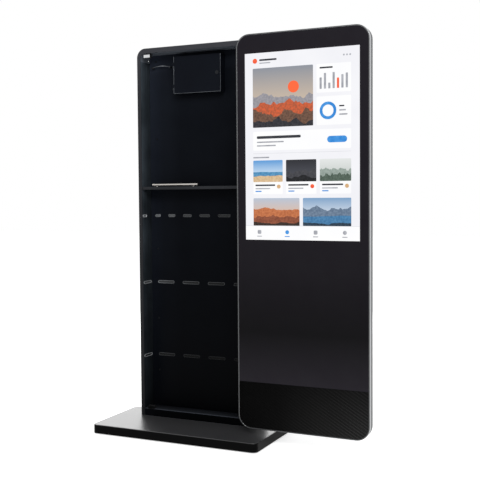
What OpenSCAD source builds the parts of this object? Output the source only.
// Floor-standing display cabinet whose screen front swings aside and keeps facing forwards.
// Millimetres, Z up, the front faces -Y. Origin: on the floor under the middle of the base plate.
// Drawn with the door carried to the right, as it stands when the cabinet is in use.

/* [Overall] */
// Height of the cabinet top above the floor
top_z = 1855; // [1800:5:1950]
// Width of the cabinet and of its door
cab_w = 622; // [600:2:680]
// Depth from the front frame to the rear skin
cab_d = 143; // [140:1:170]
// Radius of the cabinet's top corners
cab_r = 45; // [40:1:50]

/* [Base] */
// Width of the base plate
base_w = 860; // [800:10:1000]
// Depth of the base plate
base_d = 400; // [380:10:480]
// Height of the base plate's cover
base_h = 42; // [38:1:60]
// Plan radius of the base corners
base_r = 26; // [10:1:30]
// Rounding of the cover's top edge
base_edge = 4; // [2:0.5:6]
// Thickness of the cover's sheet
base_sheet = 3; // [2:0.5:4]
// Clear height under the cover
foot_h = 5; // [3:1:10]
// Diameter of a foot pad
foot_d = 44; // [30:1:60]
// Distance of a foot pad's centre from the slab's edge
foot_inset = 50; // [35:1:80]
// Height of the slab's underside above the cover's lower edge
slab_lift = 3; // [2:0.5:5]
// Thickness of the weight slab
slab_t = 14; // [10:1:18]
// Distance of the slab from the cover's outside
slab_inset = 20; // [10:1:40]
// Outside diameter of a stand-off
standoff_d = 26; // [22:1:32]

/* [Cabinet shell] */
// Thickness of the shell sheet
sheet = 2; // [1.5:0.5:3]
// Width of the front flange at the sides
flange = 20; // [18:1:22]
// Height of the front flange at the top
flange_top = 24; // [20:1:26]
// Height of the top cap
cap_h = 62; // [56:1:80]
// Thickness of the sole plate
sole_t = 4; // [3:1:6]
// Diameter of the sole bolts
sole_bolt_d = 10; // [8:1:12]
// Distance of the sole bolts from the middle
sole_bolt_x = 200; // [150:5:240]
// Distance of the sole bolts from the cabinet's front and back
sole_bolt_y = 36; // [30:1:45]
// Diameter of the sole bolts' washers
sole_washer_d = 20; // [18:1:24]
// Thickness of the sole bolts' washers
sole_washer_t = 2; // [1.5:0.5:3]
// Size of a sole bolt's head across its corners
sole_head_d = 18; // [16:1:18]
// Height of a sole bolt's head
sole_head_h = 6; // [5:0.5:8]
// Width of the side sheets' folded return at the back
return_w = 18; // [16:1:26]
// Height of the lowest rear screws above the base
rear_screw_up = 20; // [15:1:40]
// Number of rear screws on each side
rear_screw_n = 4; // [3:1:6]
// Length of a vent in the rear skin
vent_l = 126; // [80:2:180]
// Height of a vent
vent_h = 6; // [4:0.5:8]
// Spacing of the vents
vent_pitch = 44; // [30:1:60]
// Number of vents
vent_n = 3; // [2:1:4]

/* [Storage bay] */
// Depth of the storage bay
bay_d = 88; // [84:1:92]
// Thickness of the bay's liner sheet
liner_t = 1.5; // [1:0.25:2]
// Height of the bay floor above the base
floor_h = 34; // [30:1:45]
// Height of the upper slot row
row_a_z = 1039; // [1000:1:1080]
// Height of the middle slot row
row_b_z = 708; // [650:1:760]
// Height of the lower slot row
row_c_z = 343; // [300:1:390]
// Height of a slot
slot_h = 12; // [8:1:14]
// Length of the first upper slot, at the left
slot_short = 28; // [20:1:50]
// Growth of the upper slots, each longer than the one before
slot_grow = 9; // [0:1:11]
// Number of upper slots
slot_n_short = 6; // [4:1:6]
// Length of a middle or lower slot
slot_long = 90; // [70:1:100]
// Number of slots in the middle and lower rows
slot_n_long = 4; // [3:1:4]
// Spacing of the first two upper slots
pitch_short = 74; // [66:1:80]
// Spacing of the middle and lower slots
pitch_long = 140; // [115:1:145]
// Length of an upper slot in the side liners
side_short = 34; // [25:1:45]
// Length of a middle or lower slot in the side liners
side_long = 70; // [50:1:72]
// Height of the bright channels behind the slots
channel_h = 40; // [30:1:50]
// Gap between a slot and the web of its channel
channel_gap = 2; // [1.5:0.5:2]
// Thickness of the bright channels
channel_t = 1; // [0.75:0.25:1]
// Distance of the side slots from the bay's front
side_slot_in = 6; // [4:0.5:8]
// Height of the shelf's top face
shelf_z = 1182; // [1140:1:1250]
// Height of the shelf's front lip
shelf_lip = 14; // [12:1:20]
// Gap between the shelf and the side liners
shelf_gap = 0.5; // [0.5:0.5:2]
// Diameter of a shelf peg
peg_d = 8; // [6:1:9]
// Length of a shelf peg inside the bay
peg_in = 12; // [8:1:16]
// Distance of the shelf pegs from the bay's front and back
peg_edge = 20; // [16:1:28]
// Diameter of the shelf rail
rail_d = 12; // [10:1:16]
// Length of the shelf rail
rail_l = 250; // [200:5:260]
// Diameter of the rail's end caps
rail_cap_d = 13.5; // [12.5:0.5:16]
// Length of a rail end cap
rail_cap_l = 6; // [4:0.5:10]
// Distance of the rail posts from the rail's ends
post_in = 24; // [15:1:40]
// Left end of the shelf rail from the left liner
rail_x = 45; // [30:1:60]
// Distance of the rail from the shelf's front
rail_y = 28; // [20:1:40]
// Clear height under the shelf rail
rail_gap = 3; // [2:0.5:5]
// Diameter of a rail post
post_d = 7; // [5:0.5:9]
// Width of the arched loop
loop_w = 100; // [80:1:105]
// Rise of the arched loop
loop_rise = 7.5; // [6:0.5:12]
// Thickness of the loop's wire
loop_d = 4; // [3:0.5:5]
// Diameter of the loop's legs
loop_leg_d = 7; // [6:0.5:9]
// How far the loop stands off the back panel
loop_out = 18; // [12:1:25]
// Middle of the loop from the bay's left wall
loop_x = 76; // [58:1:90]
// Depth of the loop's ends below the cabinet top
loop_drop = 87; // [80:1:110]
// Distance of the panel screws from the bay's sides
panel_screw_in = 38; // [30:1:45]
// Depth of the top panel screws below the cabinet top
panel_screw_drop = 55; // [52:1:62]
// Height of the middle panel screws above the shelf
panel_screw_up = 237; // [150:1:260]
// Depth of the lowest panel screws below the lower slot row
panel_screw_low = 80; // [60:1:120]
// Width of a door catch
catch_w = 34; // [24:1:38]
// Depth of a door catch
catch_d = 20; // [15:1:25]
// Height of a door catch
catch_h = 14; // [12:1:16]
// Distance of a catch's middle from the bay's left wall
catch_in = 36; // [30:1:40]

/* [Control box] */
// Width of the control box
box_w = 252; // [230:2:256]
// Height of the control box
box_h = 178; // [170:1:190]
// Depth of the control box
box_d = 46; // [44:1:52]
// Depth of the box's lower edge below the cabinet top
box_drop = 223; // [218:1:250]
// Thickness of the box sheet
box_t = 1.5; // [1:0.25:2]
// Thickness of the box cover
cover_t = 3; // [2:0.5:3]
// Gap between cover and box
cover_gap = 0.5; // [0.5:0.25:1]
// Diameter of a cover hinge pin
hinge_pin_d = 4; // [3:0.5:4]
// Outside diameter of a hinge knuckle
knuckle_d = 8; // [7.5:0.5:8]
// Height of a hinge knuckle
knuckle_h = 20; // [16:1:24]
// Distance of the hinge axis from the box
hinge_out = 5; // [5:0.5:6]
// Distance of the knuckles from the box's ends
hinge_end = 26; // [20:1:32]
// Height of a hinge lug on the box
lug_h = 8; // [6:1:12]
// Diameter of the turn lock's barrel
lock_d = 14; // [12:1:15]
// Distance of the lock from the box's right side
lock_in = 18; // [17:1:20]
// Reach of the lock's cam from its axis
cam_reach = 14; // [13:0.5:14]
// Width of the lock's cam
cam_w = 8; // [6:1:9]
// Thickness of the lock's cam
cam_t = 2; // [1.5:0.5:3]
// Diameter of the lock's face
lock_face_d = 18; // [17:0.5:22]
// Thickness of the lock's face
lock_face_t = 2.5; // [2:0.25:4]
// Width of the key slot
key_w = 2; // [1:0.5:3]
// Length of the key slot
key_l = 7; // [5:0.5:9]
// Depth of the key slot
key_deep = 2; // [1:0.5:4]
// Left side of the power supply and terminals from the box's left side
supply_in = 36; // [20:1:60]
// Width of the power supply
supply_w = 150; // [120:5:160]
// Depth of the power supply
supply_d = 34; // [25:1:35]
// Height of the power supply
supply_h = 70; // [50:1:74]
// Width of the terminal block
terminal_w = 60; // [40:1:80]
// Height of the terminal block
terminal_h = 28; // [20:1:32]
// Depth of the terminal block
terminal_d = 17; // [12:1:20]
// Height of the terminal block above the box's lower edge
terminal_up = 124; // [112:1:136]
// Number of terminal holes
terminal_n = 4; // [3:1:5]
// Diameter of a terminal hole
terminal_bore = 6; // [4:0.5:7]
// Depth of a terminal hole
terminal_deep = 10; // [6:1:11]

/* [Mains] */
// Width of the inlet's outer plate
inlet_w = 80; // [78:1:90]
// Height of the inlet's outer plate
inlet_h = 32; // [31:1:40]
// Height of the inlet's middle above the base
inlet_z = 61; // [58:1:90]
// Depth of the inlet's body inside the cabinet
inlet_d = 24; // [22:1:26]
// Thickness of the inlet's outer plate
inlet_t = 3; // [2:0.5:4]
// Width of the trunking
trunk_w = 30; // [28:1:36]
// Depth of the trunking
trunk_d = 24; // [20:1:25]
// Wall of the trunking
trunk_t = 1.5; // [1:0.25:2]
// Bore of the grommet
grommet_d = 16; // [12:1:18]
// Wall of the grommet
grommet_t = 2; // [1.5:0.25:2.5]
// Width of the grommet's inner collar
collar_w = 2; // [1.5:0.25:3]
// Width of the mains socket
socket_w = 32; // [28:1:34]
// Height of the mains socket and the switch window
socket_h = 20; // [19:0.5:22]
// Depth of the mains socket
socket_d = 21; // [18:0.5:22]
// Width of a contact blade
blade_w = 2; // [1.5:0.25:2.5]
// Height of a contact blade
blade_h = 4; // [3:0.5:5]
// Length of a contact blade
blade_l = 9; // [7:0.5:10]
// Distance between contact blades
blade_pitch = 8; // [7:0.25:9]
// Width of the switch rocker
rocker_w = 13; // [11:0.5:14]
// Length of the switch rocker
rocker_l = 18.5; // [17:0.5:18.5]
// Thickness of the switch rocker
rocker_t = 6; // [5:0.5:6.5]
// Hollow of the rocker's face
rocker_dip = 1; // [0.5:0.25:1.5]
// Tilt of the rocker to either side
rocker_tilt = 6; // [4:0.5:7]
// Diameter of the rocker's axle
axle_d = 2; // [1.5:0.25:2.5]
// Depth of the switch window
window_d = 12; // [10:0.5:14]

/* [Door] */
// Thickness of the door
door_t = 46; // [45:1:48]
// Height of the door's lower edge above the base
door_gap = 27; // [22:1:32]
// Air gap between the closed door's rear edge and the cabinet
closed_gap = 2; // [2:0.5:3]
// Radius of the door's corners
door_r = 62; // [55:1:64]
// Depth of the silver frame
frame_d = 21; // [20:0.5:21]
// Width of the silver frame's front lip
frame_lip = 5; // [4:0.5:6]
// Depth of the glass below the frame's front
glass_sink = 0.5; // [0.5:0.25:1]
// Thickness of the front glass
glass_t = 4; // [3:0.5:4]
// Height of the speaker grille
grille_h = 210; // [190:1:230]
// Gap between glass and grille
grille_gap = 1; // [0.5:0.25:2]
// Width of the lit screen
screen_w = 534; // [500:2:550]
// Height of the lit screen
screen_h = 830; // [780:2:850]
// Distance of the screen from the door's top edge
screen_top = 88; // [80:1:100]
// Margin of the display module round the screen
module_rim = 12; // [8:1:14]
// Thickness of the display module
module_t = 10; // [8:0.5:10]
// Thickness of the rear pan's sheet
pan_t = 2; // [1.5:0.25:2]
// Thickness of the rear pan's rim
rim_t = 3; // [2:0.5:3]
// Inset of the rear pan from the frame's outside
rim_in = 1.5; // [1:0.25:2]
// Thickness of the gasket
gasket_t = 1.5; // [1:0.25:1.5]
// Diameter of a loudspeaker
speaker_d = 90; // [70:1:100]
// Distance of a loudspeaker from the middle
speaker_x = 150; // [120:1:180]
// Thickness of a loudspeaker's flange
speaker_flange = 3; // [2:0.5:4]
// Diameter of a loudspeaker's magnet
magnet_d = 54; // [40:1:60]
// Depth of a loudspeaker's magnet
magnet_t = 11; // [8:0.5:11]
// Width of the player box
player_w = 170; // [140:2:180]
// Width of the door's power box
power_w = 130; // [100:2:150]
// Height of the player box and the power box
pod_h = 110; // [90:2:140]
// Depth of the player box and the power box
pod_d = 19; // [14:0.5:20]
// Distance of each box from the door's middle
pod_gap = 30; // [20:1:40]
// Diameter of a keeper stud
keeper_d = 12; // [10:1:13]
// Height of the grip strip's lower end
grip_z = 937; // [800:1:1100]
// Length of the grip strip
grip_h = 180; // [120:2:240]
// Width of the grip strip
grip_w = 19; // [14:0.5:19]
// Distance of the door screws from the pan's rim
door_screw_in = 9; // [8:0.5:10]
// Distance of the power button from the door's middle
button_x = 155; // [100:1:200]
// Diameter of the power button
button_d = 10; // [8:0.5:12]
// How far the power button stands out
button_out = 2; // [2:0.25:3]
// Width of the button's inner collar
button_collar = 2; // [1:0.25:2.5]
// Length of the button inside the rim
button_in = 4; // [3:0.5:6]

/* [Swing] */
// Distance between the two pivot axes of an arm
swing_len = 302; // [296:1:306]
// Angle of the arms when the door stands aside
open_ang = 14.2; // [12:0.1:16]
// Distance of the pivot axis from the cabinet's right side
pivot_in = 40; // [38:1:44]
// Distance of the pivot axis in front of the cabinet
pivot_out = 13.5; // [13.25:0.25:13.5]
// Diameter of the pivot pins
pin_d = 10; // [8:0.5:10]
// Diameter of a pin's head
pin_head_d = 12; // [11:0.5:12.5]
// Height of a pin's head
pin_head_h = 2; // [1.5:0.5:3]
// Depth of the pin bores in the tube and arms
pin_deep = 36; // [30:1:40]
// Room beyond the end of a pin
pin_room = 2; // [1:0.5:3]
// Outside diameter of the torque tube and the arms' bosses
boss_d = 21; // [19:0.5:21]
// Thickness of an arm
arm_t = 14; // [10:1:16]
// Height of an arm
arm_h = 46; // [44:1:60]
// Height of the lower arm's underside
arm_lo = 337; // [300:1:420]
// Depth of the upper arm's underside below the cabinet top
arm_drop = 325; // [300:1:380]
// Thickness of the bracket ears
ear_t = 10; // [8:1:14]
// Room for the pulley between upper arm and ear
pulley_h = 16; // [15:0.5:20]
// Diameter of the pulleys
pulley_d = 18; // [17:0.5:18]
// Height of the belt
belt_h = 12; // [8:1:13]
// Thickness of the belt
belt_t = 1.8; // [1:0.1:1.8]
// Room for the washer under the lower arm
washer_h = 4; // [3:0.5:6]
// Diameter of the thrust washer
washer_d = 19; // [16:0.5:20]
// Height of a bracket's foot
bracket_h = 90; // [80:1:120]
// Thickness of a bracket's foot
bracket_t = 5; // [4:0.5:5]
// Width of a door bracket's foot
bracket_w = 42; // [30:1:60]
// Clearance of the cabinet's brackets from the opening and from the door
bracket_gap = 2; // [1:0.5:2.5]
// Thickness of the hinge post
hinge_post_t = 13; // [11:0.5:13]
// Depth of the hinge post
hinge_post_d = 40; // [30:1:50]

/* [Fits and fixings] */
// Radial clearance of running pins
run_fit = 0.05; // [0.03:0.01:0.09]
// Clearance between flat running faces
face_gap = 0.5; // [0.4:0.1:0.8]
// Clearance between belt and pulley
belt_gap = 0.3; // [0.3:0.05:0.4]
// Shank diameter of the small screws
screw_d = 4; // [3:0.5:5]
// Head diameter of the small screws
screw_head_d = 9; // [8:0.5:11]
// Head height of the small screws
screw_head_h = 2.5; // [2:0.25:3]
// Shank diameter of the bracket screws
bolt_d = 6; // [5:0.5:7]
// Head diameter of the bracket screws
bolt_head_d = 10; // [9:0.5:11]
// Head height of the bracket screws
bolt_head_h = 4; // [3:0.5:5]

/* [Hidden] */
$fn = 96;
// Overrun of a cut past the face it opens
cut = 1;
base_top = foot_h + base_h;
cab_back = base_d / 2;
cab_front = cab_back - cab_d;
half = cab_w / 2;
cap_z = top_z - cap_h;
bay_half = half - flange;
bay_back = cab_front + bay_d;
bay_floor = base_top + floor_h;
bay_top = top_z - flange_top;
bay_r = cab_r - flange;
slab_z = foot_h + slab_lift;
slab_top = slab_z + slab_t;
cover_under = base_top - base_sheet;
row_z = [row_a_z, row_b_z, row_c_z];
row_pitch = [pitch_short, pitch_long, pitch_long];
row_slot = [slot_short, slot_long, slot_long];
row_side = [side_short, side_long, side_long];
row_grow = [slot_grow, 0, 0];
row_n = [slot_n_short, slot_n_long, slot_n_long];
side_slot_y = cab_front + sheet + side_slot_in;
peg_z = shelf_z - liner_t - peg_d / 2;
peg_y = [cab_front + peg_edge, bay_back - peg_edge];
rail_z = shelf_z + rail_gap + rail_d / 2;
rail_left = -bay_half + rail_x;
loop_r = (loop_w * loop_w / 4 + loop_rise * loop_rise) / (2 * loop_rise);
loop_half = asin(loop_w / (2 * loop_r));
loop_z = top_z - loop_drop;
loop_mid = -bay_half + loop_x;
box_z = top_z - box_drop;
box_y = bay_back - box_d;
cover_y = box_y - cover_gap - cover_t;
hinge_x = -box_w / 2 - hinge_out;
hinge_y = cover_y + cover_t / 2;
hinge_z = [box_z + hinge_end, box_z + box_h - hinge_end - knuckle_h];
lock_x = box_w / 2 - lock_in;
lock_z = box_z + box_h / 2;
cam_y = box_y + box_t + cover_gap;
keep_w = lock_in - lock_d / 2 - box_t - face_gap;
supply_x = supply_in - box_w / 2;
grommet_z = box_z + box_h / 2;
grommet_out_d = grommet_d + 2 * grommet_t;
inlet_mid = base_top + inlet_z;
inlet_body_w = inlet_w - 2 * inlet_t;
inlet_body_h = inlet_h - 2 * inlet_t;
socket_x = -inlet_body_w / 4;
rocker_x = inlet_body_w / 4;
rocker_y = cab_back;
trunk_y = bay_back + liner_t + channel_gap + channel_t;
trunk_z = inlet_mid + inlet_h;
catch_x = -bay_half + catch_in;
catch_hi = bay_top - catch_h;
catch_lo = bay_floor + catch_h / 2 + sheet;
pivot_x = half - pivot_in;
pivot_y = cab_front - pivot_out;
door_pivot_x = pivot_x - swing_len;
travel_x = swing_len * (1 + cos(open_ang));
travel_y = swing_len * sin(open_ang);
arm_hi = top_z - arm_drop;
arm_top = arm_hi + arm_h;
ear_hi = arm_top + pulley_h;
ear_lo = arm_lo - washer_h - ear_t;
bracket_right = half - rim_in - rim_t - bracket_gap;
bracket_left = bay_half + bracket_gap;
bolt_x = bracket_right - bolt_head_d / 2;
bolt_z = [ear_lo - bracket_h * 3 / 4, ear_lo - bracket_h / 4, ear_hi + ear_t + bracket_h / 4,
  ear_hi + ear_t + bracket_h * 3 / 4];
bolt_l = bracket_t + sheet + hinge_post_d / 2;
door_z0 = base_top + door_gap;
door_rear = cab_front - closed_gap;
door_front = door_rear - door_t;
glass_y = door_front + glass_sink;
grille_z = door_z0 + frame_lip + grille_h;
screen_z1 = top_z - screen_top;
screen_z0 = screen_z1 - screen_h;
pan_y = door_front + frame_d;
pan_rear = pan_y + pan_t;
speaker_z = door_z0 + frame_lip + grille_h / 2;
pod_z = (screen_z0 + screen_z1) / 2;
foot_x = base_w / 2 - slab_inset - foot_inset;
foot_y = base_d / 2 - slab_inset - foot_inset;
foot_at = [[0, 0], [foot_x, foot_y], [foot_x, -foot_y], [-foot_x, foot_y], [-foot_x, -foot_y]];
sole_bolts_y = [cab_front + sole_bolt_y, cab_back - sole_bolt_y];
panel_screw_x = bay_half - panel_screw_in;
panel_screw_z = [row_c_z - panel_screw_low, (row_b_z + row_c_z) / 2, (row_a_z + row_b_z) / 2,
  shelf_z + panel_screw_up, top_z - panel_screw_drop];
rear_screw_x = half - sheet - return_w / 2;
rear_screw_lo = base_top + rear_screw_up;
rear_screw_step = (cap_z - rear_screw_up - rear_screw_lo) / (rear_screw_n - 1);
rear_screw_z = [for (place = [0:rear_screw_n - 1]) rear_screw_lo + place * rear_screw_step];
vent_z = [for (place = [0:vent_n - 1]) box_z + place * vent_pitch];
door_screw_x = half - rim_in - rim_t - door_screw_in;
door_screw_z = [door_z0 + door_r, grille_z + door_r, pod_z, top_z - door_r];
button_y = (pan_rear + door_rear) / 2;

// A flat outline drawn in width and height, given a thickness towards the back
module upright(y0, t) {
  translate([0, y0 + t, 0])
    rotate([90, 0, 0])
      linear_extrude(t)
        children();
}

// Outline from z0 up to z1 with rounded upper corners
module arch2d(w, z0, z1, r) {
  translate([-w / 2, z0])
    square([w, z1 - z0 - r]);
  translate([r - w / 2, z0])
    square([w - 2 * r, z1 - z0]);
  for (flip = [0, 1])
    mirror([flip, 0])
      translate([w / 2 - r, z1 - r])
        intersection() {
          circle(r);
          square(r);
        }
}

// Outline from z0 up to z1 with all corners rounded
module rounded2d(w, z0, z1, r) {
  translate([-w / 2, z0 + r])
    square([w, z1 - z0 - 2 * r]);
  translate([r - w / 2, z0])
    square([w - 2 * r, z1 - z0]);
  for (side = [-1, 1])
    for (z = [z0 + r, z1 - r])
      translate([side * (w / 2 - r), z])
        circle(r);
}

// Slot with round ends, centred
module slot2d(l, h) {
  square([l - h, h], center = true);
  for (side = [-1, 1])
    translate([side * (l - h) / 2, 0])
      circle(d = h);
}

// Door outline drawn in by a margin
module door2d(inset) {
  rounded2d(cab_w - 2 * inset, door_z0 + inset, top_z - inset, door_r - inset);
}

// Round bar lying along Y from y0 to y1
module bar_y(x, z, d, y0, y1) {
  translate([x, y1, z])
    rotate([90, 0, 0])
      cylinder(d = d, h = y1 - y0);
}

// Moves a piece drawn on the closed door to where the door stands aside
module door_place() {
  translate([travel_x, -travel_y, 0])
    children();
}

// Moves a piece drawn along +X from the pivot to the arm's place
module swing_place() {
  translate([pivot_x, pivot_y, 0])
    rotate([0, 0, -open_ang])
      children();
}

// Positions of the sole bolts
module at_sole_bolts() {
  for (x = [-sole_bolt_x, sole_bolt_x])
    for (y = sole_bolts_y)
      translate([x, y, 0])
        children();
}

// Section of the cover's edge: upright outside, rounded over at the top
module edge2d() {
  square([base_r, base_h - base_edge]);
  square([base_r - base_edge, base_h]);
  translate([base_r - base_edge, base_h - base_edge])
    circle(base_edge);
}

module base_cover() {
  x = base_w / 2 - base_r;
  y = base_d / 2 - base_r;
  corners = [[x, y], [-x, y], [-x, -y], [x, -y]];
  runs = [2 * y, 2 * x, 2 * y, 2 * x];
  color("#1c1d1f")
    translate([0, 0, foot_h])
      difference() {
        union() {
          translate([-x, -y, 0])
            cube([2 * x, 2 * y, base_h]);
          for (turn = [0, 1, 2, 3])
            translate(corners[turn])
              rotate([0, 0, turn * 90]) {
                rotate_extrude(angle = 90)
                  edge2d();
                rotate([90, 0, 0])
                  linear_extrude(runs[turn])
                    edge2d();
              }
        }
        translate([0, 0, -cut])
          linear_extrude(base_h - base_sheet + cut)
            rounded2d(base_w - 2 * base_sheet, base_sheet - base_d / 2, base_d / 2 - base_sheet,
              base_r - base_sheet);
        at_sole_bolts()
          cylinder(d = sole_bolt_d, h = base_h + cut);
      }
}

module base_slab() {
  w = base_w - 2 * slab_inset;
  d = base_d - 2 * slab_inset;
  color("#4a4c50")
    difference() {
      translate([-w / 2, -d / 2, slab_z])
        cube([w, d, slab_t]);
      at_sole_bolts()
        cylinder(d = sole_bolt_d, h = base_top);
    }
}

module base_standoffs() {
  color("#8b8e92")
    at_sole_bolts()
      translate([0, 0, slab_top])
        difference() {
          cylinder(d = standoff_d, h = cover_under - slab_top);
          translate([0, 0, -cut])
            cylinder(d = sole_bolt_d, h = base_h);
        }
}

module feet() {
  color("#161616")
    for (at = foot_at)
      translate(at)
        cylinder(d = foot_d, h = slab_z);
}

module sole_plate() {
  w = cab_w - 2 * sheet;
  color("#2a2b2d")
    difference() {
      translate([-w / 2, cab_front + sheet, base_top])
        cube([w, cab_d - 3 * sheet, sole_t]);
      at_sole_bolts()
        cylinder(d = sole_bolt_d, h = base_top + sole_t + cut);
    }
}

module sole_bolts() {
  color("#9a9da1")
    at_sole_bolts() {
      translate([0, 0, slab_z])
        cylinder(d = sole_bolt_d, h = base_top + sole_t - slab_z);
      translate([0, 0, base_top + sole_t])
        cylinder(d = sole_washer_d, h = sole_washer_t);
      translate([0, 0, base_top + sole_t + sole_washer_t])
        cylinder(d = sole_head_d, h = sole_head_h, $fn = 6);
    }
}

// Side sheet with its front flange and its rear return, on the left
module side_sheet() {
  fold_x = sheet - half;
  fold_y = cab_back - 2 * sheet;
  difference() {
    linear_extrude(cap_z - base_top)
      polygon([[-half, cab_front], [-bay_half, cab_front], [-bay_half, cab_front + sheet],
        [fold_x, cab_front + sheet], [fold_x, fold_y], [fold_x + return_w, fold_y],
        [fold_x + return_w, fold_y + sheet], [fold_x, fold_y + sheet], [fold_x, cab_back],
        [-half, cab_back]]);
    for (z = rear_screw_z)
      bar_y(-rear_screw_x, z - base_top, screw_d, fold_y - cut, cab_back);
  }
}

module side_left() {
  color("#1f2022")
    translate([0, 0, base_top])
      side_sheet();
}

module side_right() {
  color("#1f2022")
    difference() {
      translate([0, 0, base_top])
        mirror([1, 0, 0])
          side_sheet();
      for (z = bolt_z)
        bar_y(bolt_x, z, bolt_d, cab_front - cut, cab_front + sheet + cut);
    }
}

module top_cap() {
  color("#1f2022") {
    upright(cab_front, cab_d)
      difference() {
        arch2d(cab_w, cap_z, top_z, cab_r);
        arch2d(cab_w - 2 * sheet, cap_z - cut, top_z - sheet, cab_r - sheet);
      }
    upright(cab_front, sheet)
      difference() {
        arch2d(cab_w - sheet, cap_z, top_z - sheet / 2, cab_r - sheet / 2);
        arch2d(2 * bay_half, cap_z - cut, bay_top, bay_r);
      }
  }
}

module rear_skin() {
  color("#1a1b1d")
    upright(cab_back - sheet, sheet)
      difference() {
        arch2d(cab_w - 2 * sheet, base_top, top_z - sheet, cab_r - sheet);
        translate([0, inlet_mid])
          square([inlet_body_w, inlet_body_h], center = true);
        for (z = vent_z)
          translate([0, z])
            slot2d(vent_l, vent_h);
        for (x = [-rear_screw_x, rear_screw_x])
          for (z = rear_screw_z)
            translate([x, z])
              circle(d = screw_d);
      }
}

module fascia() {
  color("#1f2022")
    translate([-bay_half, cab_front, base_top])
      cube([2 * bay_half, sheet, floor_h]);
}

module floor_pan() {
  color("#1c1d20")
    translate([-bay_half, cab_front + sheet, bay_floor - liner_t])
      cube([2 * bay_half, bay_d - sheet, liner_t]);
}

// Outline of the bay's back
module bay2d() {
  arch2d(2 * (bay_half + liner_t), bay_floor - liner_t, bay_top + liner_t, bay_r + liner_t);
}

// Length of a row's slot, counted from the left
function slot_l(row, i) = row_slot[row] + i * row_grow[row];

// Run from the left end of a row to the left end of a slot, with equal gaps between the slots
function slot_run(row, i) = i * row_pitch[row] + row_grow[row] * i * (i - 1) / 2;

// Middle of a slot, in a row that is centred in the bay
function slot_mid(row, i) = let(last = row_n[row] - 1)
  slot_run(row, i) + (slot_l(row, i) - slot_run(row, last) - slot_l(row, last)) / 2;

module back_panel() {
  color("#222428")
    upright(bay_back, liner_t)
      difference() {
        bay2d();
        for (row = [0, 1, 2])
          for (i = [0:row_n[row] - 1])
            translate([slot_mid(row, i), row_z[row]])
              slot2d(slot_l(row, i), slot_h);
        for (x = [-panel_screw_x, panel_screw_x])
          for (z = panel_screw_z)
            translate([x, z])
              circle(d = screw_d);
        translate([0, grommet_z])
          circle(d = grommet_out_d);
      }
}

module cabinet_screws() {
  color("#85888c")
    for (side = [-1, 1]) {
      for (z = panel_screw_z) {
        bar_y(side * panel_screw_x, z, screw_d, bay_back, bay_back + liner_t);
        bar_y(side * panel_screw_x, z, screw_head_d, bay_back - screw_head_h, bay_back);
      }
      for (z = rear_screw_z) {
        bar_y(side * rear_screw_x, z, screw_d, cab_back - 2 * sheet, cab_back);
        bar_y(side * rear_screw_x, z, screw_head_d, cab_back, cab_back + screw_head_h);
      }
    }
}

// Side wall of the bay, on the left, with its slots and peg holes
module side_liner() {
  translate([-bay_half - liner_t, 0, 0])
    rotate([90, 0, 90])
      linear_extrude(liner_t)
        difference() {
          translate([cab_front + sheet, bay_floor])
            square([bay_d - sheet, cap_z - bay_floor]);
          for (row = [0, 1, 2])
            translate([side_slot_y + row_side[row] / 2, row_z[row]])
              slot2d(row_side[row], slot_h);
          for (y = peg_y)
            translate([y, peg_z])
              circle(d = peg_d);
        }
}

module liner_left() {
  color("#24262a")
    side_liner();
}

module liner_right() {
  color("#24262a")
    mirror([1, 0, 0])
      side_liner();
}

module liner_top() {
  color("#24262a")
    difference() {
      upright(cab_front + sheet, bay_d - sheet)
        arch2d(2 * (bay_half + liner_t), cap_z, bay_top + liner_t, bay_r + liner_t);
      upright(cab_front, bay_d + cut)
        arch2d(2 * bay_half, cap_z - cut, bay_top, bay_r);
    }
}

// Channel of a given length along X, open towards -Y, its lips on the plane y = 0
module slot_channel(l) {
  translate([0, channel_gap, -channel_h / 2])
    cube([l, channel_t, channel_h]);
  for (z = [-channel_h / 2, channel_h / 2 - channel_t])
    translate([0, 0, z])
      cube([l, channel_gap, channel_t]);
}

module slot_channels() {
  color("#b9bcc0")
    for (z = row_z) {
      translate([-bay_half, bay_back + liner_t, z])
        slot_channel(2 * bay_half);
      for (side = [0, 1])
        mirror([side, 0, 0])
          translate([-bay_half - liner_t, cab_front + 2 * sheet, z])
            rotate([0, 0, 90])
              slot_channel(bay_d - 2 * sheet);
    }
}

module shelf() {
  w = 2 * (bay_half - shelf_gap);
  color("#3a3c40") {
    translate([-w / 2, cab_front + sheet, shelf_z - liner_t])
      cube([w, bay_d - sheet, liner_t]);
    translate([-w / 2, cab_front + sheet, shelf_z - shelf_lip])
      cube([w, liner_t, shelf_lip]);
    translate([-w / 2, bay_back - liner_t, shelf_z - shelf_lip])
      cube([w, liner_t, shelf_lip]);
  }
}

module shelf_pegs() {
  color("#a4a7ab")
    for (side = [0, 1])
      mirror([side, 0, 0])
        for (y = peg_y)
          translate([-bay_half - channel_gap, y, peg_z])
            rotate([0, 90, 0])
              cylinder(d = peg_d, h = peg_in + channel_gap);
}

module shelf_rail() {
  y = cab_front + sheet + rail_y;
  color("#c9c6c0") {
    translate([rail_left, y, rail_z])
      rotate([0, 90, 0])
        cylinder(d = rail_d, h = rail_l);
    for (x = [rail_left, rail_left + rail_l - rail_cap_l])
      translate([x, y, rail_z])
        rotate([0, 90, 0])
          cylinder(d = rail_cap_d, h = rail_cap_l);
    for (x = [rail_left + post_in, rail_left + rail_l - post_in])
      translate([x, y, shelf_z])
        cylinder(d = post_d, h = rail_z - shelf_z);
  }
}

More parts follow.
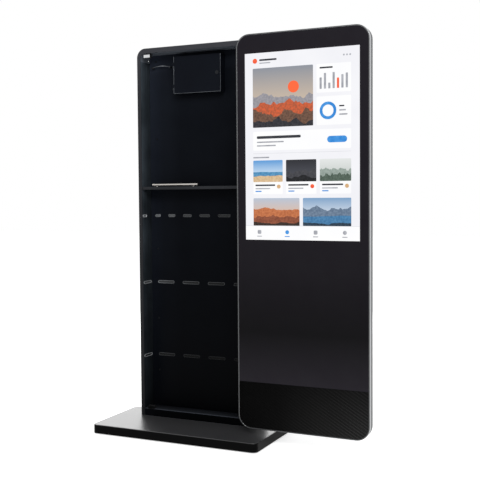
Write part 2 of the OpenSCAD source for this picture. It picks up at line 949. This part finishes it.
module arched_loop() {
  y = bay_back - loop_out;
  color("#b4b7bb") {
    translate([loop_mid, y, loop_z + loop_rise - loop_r])
      rotate([90, 0, 0])
        rotate([0, 0, 90 - loop_half])
          rotate_extrude(angle = 2 * loop_half)
            translate([loop_r, 0])
              circle(d = loop_d);
    for (side = [-1, 1])
      bar_y(loop_mid + side * loop_w / 2, loop_z, loop_leg_d, y - loop_leg_d / 2, bay_back);
  }
}

module control_box() {
  color("#1d1e20") {
    difference() {
      translate([-box_w / 2, box_y, box_z])
        cube([box_w, box_d, box_h]);
      translate([box_t - box_w / 2, box_y - cut, box_z + box_t])
        cube([box_w - 2 * box_t, box_d - box_t + cut, box_h - 2 * box_t]);
      bar_y(0, grommet_z, grommet_out_d, bay_back - 2 * box_t, bay_back + cut);
    }
    translate([box_w / 2 - box_t - keep_w, box_y, lock_z - cam_w])
      cube([keep_w, box_t, 2 * cam_w]);
  }
}

module box_hinges() {
  color("#8f9296")
    for (z = hinge_z) {
      translate([hinge_x, hinge_y, z - lug_h]) {
        cylinder(d = knuckle_d, h = lug_h - face_gap);
        cylinder(d = hinge_pin_d, h = lug_h + knuckle_h);
      }
      translate([hinge_x - knuckle_d / 2, box_y + face_gap, z - lug_h])
        cube([hinge_out + knuckle_d / 2, knuckle_d, lug_h - face_gap]);
    }
}

module box_cover() {
  color("#232528")
    difference() {
      union() {
        translate([-box_w / 2, cover_y, box_z])
          cube([box_w, cover_t, box_h]);
        for (z = hinge_z) {
          translate([hinge_x, hinge_y, z])
            cylinder(d = knuckle_d, h = knuckle_h);
          translate([hinge_x, cover_y, z])
            cube([hinge_out, cover_t, knuckle_h]);
        }
      }
      for (z = hinge_z)
        translate([hinge_x, hinge_y, z - cut])
          cylinder(d = hinge_pin_d + 2 * run_fit, h = knuckle_h + 2 * cut);
      bar_y(lock_x, lock_z, lock_d + 2 * run_fit, cover_y - cut, cover_y + cover_t + cut);
    }
}

module box_lock() {
  lock_y = cover_y - face_gap - lock_face_t;
  color("#a9acb0") {
    difference() {
      union() {
        bar_y(lock_x, lock_z, lock_d, lock_y, cam_y);
        bar_y(lock_x, lock_z, lock_face_d, lock_y, cover_y - face_gap);
      }
      translate([lock_x - key_w / 2, lock_y - cut, lock_z - key_l / 2])
        cube([key_w, key_deep + cut, key_l]);
    }
    translate([lock_x - cam_w / 2, cam_y, lock_z - cam_w / 2])
      cube([cam_w, cam_t, cam_reach + cam_w / 2]);
  }
}

module power_supply() {
  color("#9fa3a7")
    translate([supply_x, bay_back - box_t - supply_d, box_z + box_t])
      cube([supply_w, supply_d, supply_h]);
}

module terminal_block() {
  color("#d8d4c6")
    translate([supply_x, bay_back - box_t - terminal_d, box_z + terminal_up])
      difference() {
        cube([terminal_w, terminal_d, terminal_h]);
        for (place = [1:terminal_n])
          translate([place * terminal_w / (terminal_n + 1), -cut, terminal_h / 2])
            rotate([-90, 0, 0])
              cylinder(d = terminal_bore, h = terminal_deep + cut);
      }
}

module grommet() {
  y0 = bay_back - box_t;
  color("#101010")
    difference() {
      union() {
        bar_y(0, grommet_z, grommet_out_d, y0, trunk_y + trunk_t);
        bar_y(0, grommet_z, grommet_out_d + 2 * collar_w, y0 - grommet_t, y0);
      }
      bar_y(0, grommet_z, grommet_d, y0 - grommet_t - cut, trunk_y + trunk_t + cut);
    }
}

module trunking() {
  top = grommet_z + trunk_w;
  color("#3c3e41")
    difference() {
      translate([-trunk_w / 2, trunk_y, trunk_z])
        cube([trunk_w, trunk_d, top - trunk_z]);
      translate([trunk_t - trunk_w / 2, trunk_y + trunk_t, trunk_z - cut])
        cube([trunk_w - 2 * trunk_t, trunk_d - 2 * trunk_t, top - trunk_z + 2 * cut]);
      bar_y(0, grommet_z, grommet_out_d, trunk_y - cut, trunk_y + trunk_t + cut);
    }
}

module mains_inlet() {
  socket_y = cab_back + inlet_t - socket_d;
  window_w = rocker_w + 2 * face_gap;
  color("#121214") {
    difference() {
      union() {
        translate([-inlet_body_w / 2, cab_back - inlet_d, inlet_mid - inlet_body_h / 2])
          cube([inlet_body_w, inlet_d, inlet_body_h]);
        translate([-inlet_w / 2, cab_back, inlet_mid - inlet_h / 2])
          cube([inlet_w, inlet_t, inlet_h]);
      }
      translate([socket_x - socket_w / 2, socket_y, inlet_mid - socket_h / 2])
        cube([socket_w, socket_d + cut, socket_h]);
      translate([rocker_x - window_w / 2, cab_back + inlet_t - window_d, inlet_mid - socket_h / 2])
        cube([window_w, window_d + cut, socket_h]);
    }
    for (side = [-1, 0, 1])
      translate([socket_x + side * blade_pitch - blade_w / 2, socket_y, inlet_mid - blade_h / 2])
        cube([blade_w, blade_l, blade_h]);
    translate([rocker_x - window_w / 2, rocker_y, inlet_mid])
      rotate([0, 90, 0])
        cylinder(d = axle_d, h = window_w);
  }
}

module rocker() {
  reach = rocker_l / 2;
  face = rocker_t / 2;
  color("#a02a24")
    difference() {
      translate([rocker_x - rocker_w / 2, rocker_y, inlet_mid])
        rotate([rocker_tilt, 0, 0])
          rotate([90, 0, 90])
            linear_extrude(rocker_w)
              polygon([[-face, -reach / 2], [0, -reach], [face, -reach], [face - rocker_dip, 0],
                [face, reach], [0, reach], [-face, reach / 2]]);
      translate([rocker_x - rocker_w, rocker_y, inlet_mid])
        rotate([0, 90, 0])
          cylinder(d = axle_d + 2 * run_fit, h = 2 * rocker_w);
    }
}

module hinge_post() {
  color("#55585c")
    difference() {
      translate([half - sheet - hinge_post_t, cab_front + sheet, base_top + sole_t])
        cube([hinge_post_t, hinge_post_d, cap_z - base_top - sole_t]);
      for (z = bolt_z)
        bar_y(bolt_x, z, bolt_d, cab_front, cab_front - bracket_t + bolt_l);
    }
}

// Ear reaching from the cabinet's flange to the pivot axis
module pivot_ear(z) {
  translate([0, 0, z])
    linear_extrude(ear_t)
      difference() {
        union() {
          translate([pivot_x, pivot_y])
            circle(d = boss_d);
          translate([pivot_x, pivot_y - boss_d / 2])
            square([bracket_right - pivot_x, boss_d / 2 + pivot_out]);
        }
        translate([pivot_x, pivot_y])
          circle(d = pin_d);
      }
}

// Foot of a pivot bracket, bolted to the flange
module pivot_foot(z) {
  translate([bracket_left, cab_front - bracket_t, z])
    cube([bracket_right - bracket_left, bracket_t, bracket_h]);
}

module pivot_brackets() {
  color("#2c2e31")
    difference() {
      union() {
        pivot_ear(ear_hi);
        pivot_foot(ear_hi + ear_t);
        pivot_ear(ear_lo);
        pivot_foot(ear_lo - bracket_h);
      }
      for (z = bolt_z)
        bar_y(bolt_x, z, bolt_d, cab_front - bracket_t - cut, cab_front + cut);
    }
}

module bracket_screws() {
  color("#9a9da1")
    for (z = bolt_z) {
      bar_y(bolt_x, z, bolt_d, cab_front - bracket_t, cab_front - bracket_t + bolt_l);
      bar_y(bolt_x, z, bolt_head_d, cab_front - bracket_t - bolt_head_h, cab_front - bracket_t);
    }
}

// Upper and lower pin of one pivot axis
module pin_pair(x, y) {
  translate([x, y, arm_top - pin_deep + pin_room])
    cylinder(d = pin_d, h = ear_hi + ear_t - arm_top + pin_deep - pin_room);
  translate([x, y, ear_hi + ear_t])
    cylinder(d = pin_head_d, h = pin_head_h);
  translate([x, y, ear_lo])
    cylinder(d = pin_d, h = arm_lo + pin_deep - pin_room - ear_lo);
  translate([x, y, ear_lo - pin_head_h])
    cylinder(d = pin_head_d, h = pin_head_h);
}

// Pulley on a pin, held by the ear above it
module pulley(x, y) {
  translate([x, y, arm_top + face_gap])
    difference() {
      cylinder(d = pulley_d, h = pulley_h - face_gap);
      translate([0, 0, -cut])
        cylinder(d = pin_d, h = pulley_h + 2 * cut);
    }
}

module cabinet_pins() {
  color("#b0b3b7")
    pin_pair(pivot_x, pivot_y);
}

module cabinet_pulley() {
  color("#c2c5c8")
    pulley(pivot_x, pivot_y);
}

module thrust_washer() {
  color("#b08a4a")
    translate([pivot_x, pivot_y, ear_lo + ear_t])
      difference() {
        cylinder(d = washer_d, h = washer_h - face_gap);
        translate([0, 0, -cut])
          cylinder(d = pin_d, h = washer_h + 2 * cut);
      }
}

module magnet_catches() {
  color("#18191a") {
    for (z = [catch_lo, catch_hi])
      translate([catch_x - catch_w / 2, cab_front + sheet, z - catch_h / 2])
        cube([catch_w, catch_d, catch_h]);
    translate([catch_x, cab_front + sheet, catch_hi])
      cube([catch_w / 2, catch_d, bay_top - catch_hi]);
    translate([catch_x - catch_w / 2, cab_front + sheet, bay_floor])
      cube([catch_w, catch_d, catch_h]);
  }
}

module catch_plates() {
  color("#d5d7d9")
    for (z = [catch_lo, catch_hi])
      translate([catch_x - catch_w / 2, cab_front, z - catch_h / 2])
        cube([catch_w, sheet, catch_h]);
}

// Bores for the upper and lower pin of one pivot axis
module pin_bores() {
  for (z = [arm_lo - cut, arm_top - pin_deep])
    translate([0, 0, z])
      cylinder(d = pin_d + 2 * run_fit, h = pin_deep + cut);
}

module torque_tube() {
  color("#2f3134")
    swing_place()
      difference() {
        translate([0, 0, arm_lo])
          cylinder(d = boss_d, h = arm_top - arm_lo);
        pin_bores();
      }
}

module swing_arms() {
  color("#2f3134")
    swing_place()
      difference() {
        for (z = [arm_lo, arm_hi]) {
          translate([swing_len, 0, z])
            cylinder(d = boss_d, h = arm_h);
          translate([0, -arm_t / 2, z])
            cube([swing_len, arm_t, arm_h]);
        }
        translate([0, 0, arm_lo - cut])
          cylinder(d = boss_d, h = arm_top - arm_lo + 2 * cut);
        translate([swing_len, 0, 0])
          pin_bores();
      }
}

// Closed band round both pulleys
module band2d(d) {
  translate([0, -d / 2])
    square([swing_len, d]);
  for (x = [0, swing_len])
    translate([x, 0])
      circle(d = d);
}

module belt() {
  inner = pulley_d + 2 * belt_gap;
  color("#151515")
    swing_place()
      translate([0, 0, arm_top])
        linear_extrude(belt_h)
          difference() {
            band2d(inner + 2 * belt_t);
            band2d(inner);
          }
}

module door_frame() {
  color("#b7b9bb")
    door_place()
      upright(door_front, frame_d)
        difference() {
          door2d(0);
          door2d(frame_lip);
        }
}

module front_glass() {
  color("#0d0e10")
    door_place()
      upright(glass_y, glass_t)
        difference() {
          door2d(frame_lip);
          translate([-half, door_z0])
            square([cab_w, grille_z + grille_gap - door_z0]);
          translate([-screen_w / 2, screen_z0])
            square([screen_w, screen_h]);
        }
}

module display_pane() {
  color("#eef1f4")
    door_place()
      translate([-screen_w / 2, glass_y, screen_z0])
        cube([screen_w, glass_t, screen_h]);
}

module display_module() {
  color("#5f6266")
    door_place()
      translate([-screen_w / 2 - module_rim, glass_y + glass_t, screen_z0 - module_rim])
        cube([screen_w + 2 * module_rim, module_t, screen_h + 2 * module_rim]);
}

module speaker_grille() {
  color("#0a0a0b")
    door_place()
      upright(glass_y, glass_t)
        intersection() {
          door2d(frame_lip);
          translate([-half, door_z0])
            square([cab_w, grille_z - door_z0]);
        }
}

module speakers() {
  y0 = glass_y + glass_t;
  color("#202124")
    door_place()
      for (x = [-speaker_x, speaker_x]) {
        bar_y(x, speaker_z, speaker_d, y0, y0 + speaker_flange);
        bar_y(x, speaker_z, magnet_d, y0 + speaker_flange, y0 + speaker_flange + magnet_t);
      }
}

module rear_pan() {
  color("#4d4f52")
    door_place()
      difference() {
        union() {
          upright(pan_y, pan_t)
            door2d(rim_in);
          upright(pan_rear, door_rear - pan_rear)
            difference() {
              door2d(rim_in);
              door2d(rim_in + rim_t);
            }
        }
        translate([button_x, button_y, door_z0])
          cylinder(d = button_d + 2 * run_fit, h = door_r);
        for (x = [-door_screw_x, door_screw_x])
          for (z = door_screw_z)
            bar_y(x, z, screw_d, pan_y - cut, pan_rear + cut);
      }
}

module door_gasket() {
  color("#0f0f10")
    door_place()
      upright(door_rear, gasket_t)
        difference() {
          door2d(rim_in);
          door2d(rim_in + rim_t);
        }
}

module player_box() {
  color("#6e7276")
    door_place()
      translate([-pod_gap - player_w, pan_rear, pod_z - pod_h / 2])
        cube([player_w, pod_d, pod_h]);
}

module power_box() {
  color("#7d8185")
    door_place()
      translate([pod_gap, pan_rear, pod_z - pod_h / 2])
        cube([power_w, pod_d, pod_h]);
}

// Ear and foot of one door bracket
module door_bracket(ear_z, foot_z) {
  translate([0, 0, ear_z])
    linear_extrude(ear_t)
      difference() {
        union() {
          translate([door_pivot_x, pivot_y])
            circle(d = boss_d);
          translate([door_pivot_x - boss_d / 2, pan_rear])
            square([boss_d, pivot_y - pan_rear]);
        }
        translate([door_pivot_x, pivot_y])
          circle(d = pin_d);
      }
  translate([door_pivot_x - bracket_w / 2, pan_rear, foot_z])
    cube([bracket_w, bracket_t, bracket_h]);
}

module door_brackets() {
  color("#2c2e31")
    door_place() {
      door_bracket(ear_hi, ear_hi + ear_t);
      door_bracket(ear_lo, ear_lo - bracket_h);
    }
}

module door_pins() {
  color("#b0b3b7")
    door_place()
      pin_pair(door_pivot_x, pivot_y);
}

module door_pulley() {
  color("#c2c5c8")
    door_place()
      pulley(door_pivot_x, pivot_y);
}

module keepers() {
  color("#a4a7ab")
    door_place()
      for (z = [catch_lo, catch_hi])
        bar_y(catch_x, z, keeper_d, pan_rear, door_rear);
}

module power_button() {
  low = door_z0 + rim_in;
  color("#8a8d90")
    door_place()
      translate([button_x, button_y, low - button_out]) {
        cylinder(d = button_d, h = button_out + rim_t + button_in);
        translate([0, 0, button_out + rim_t + face_gap])
          cylinder(d = button_d + 2 * button_collar, h = button_in - face_gap);
      }
}

module grip_strip() {
  color("#2a2b2d")
    door_place()
      translate([-half, (pan_rear + door_rear - grip_w) / 2, grip_z])
        cube([rim_in, grip_w, grip_h]);
}

module door_screws() {
  color("#85888c")
    door_place()
      for (x = [-door_screw_x, door_screw_x])
        for (z = door_screw_z) {
          bar_y(x, z, screw_d, pan_y, pan_rear);
          bar_y(x, z, screw_head_d, pan_rear, pan_rear + screw_head_h);
        }
}

base_cover();
base_slab();
base_standoffs();
feet();
sole_plate();
sole_bolts();
side_left();
side_right();
top_cap();
rear_skin();
fascia();
floor_pan();
back_panel();
cabinet_screws();
liner_left();
liner_right();
liner_top();
slot_channels();
shelf();
shelf_pegs();
shelf_rail();
arched_loop();
control_box();
box_hinges();
box_cover();
box_lock();
power_supply();
terminal_block();
grommet();
trunking();
mains_inlet();
rocker();
hinge_post();
pivot_brackets();
bracket_screws();
cabinet_pins();
cabinet_pulley();
thrust_washer();
magnet_catches();
catch_plates();
torque_tube();
swing_arms();
belt();
door_frame();
front_glass();
display_pane();
display_module();
speaker_grille();
speakers();
rear_pan();
door_gasket();
player_box();
power_box();
door_brackets();
door_pins();
door_pulley();
keepers();
power_button();
grip_strip();
door_screws();
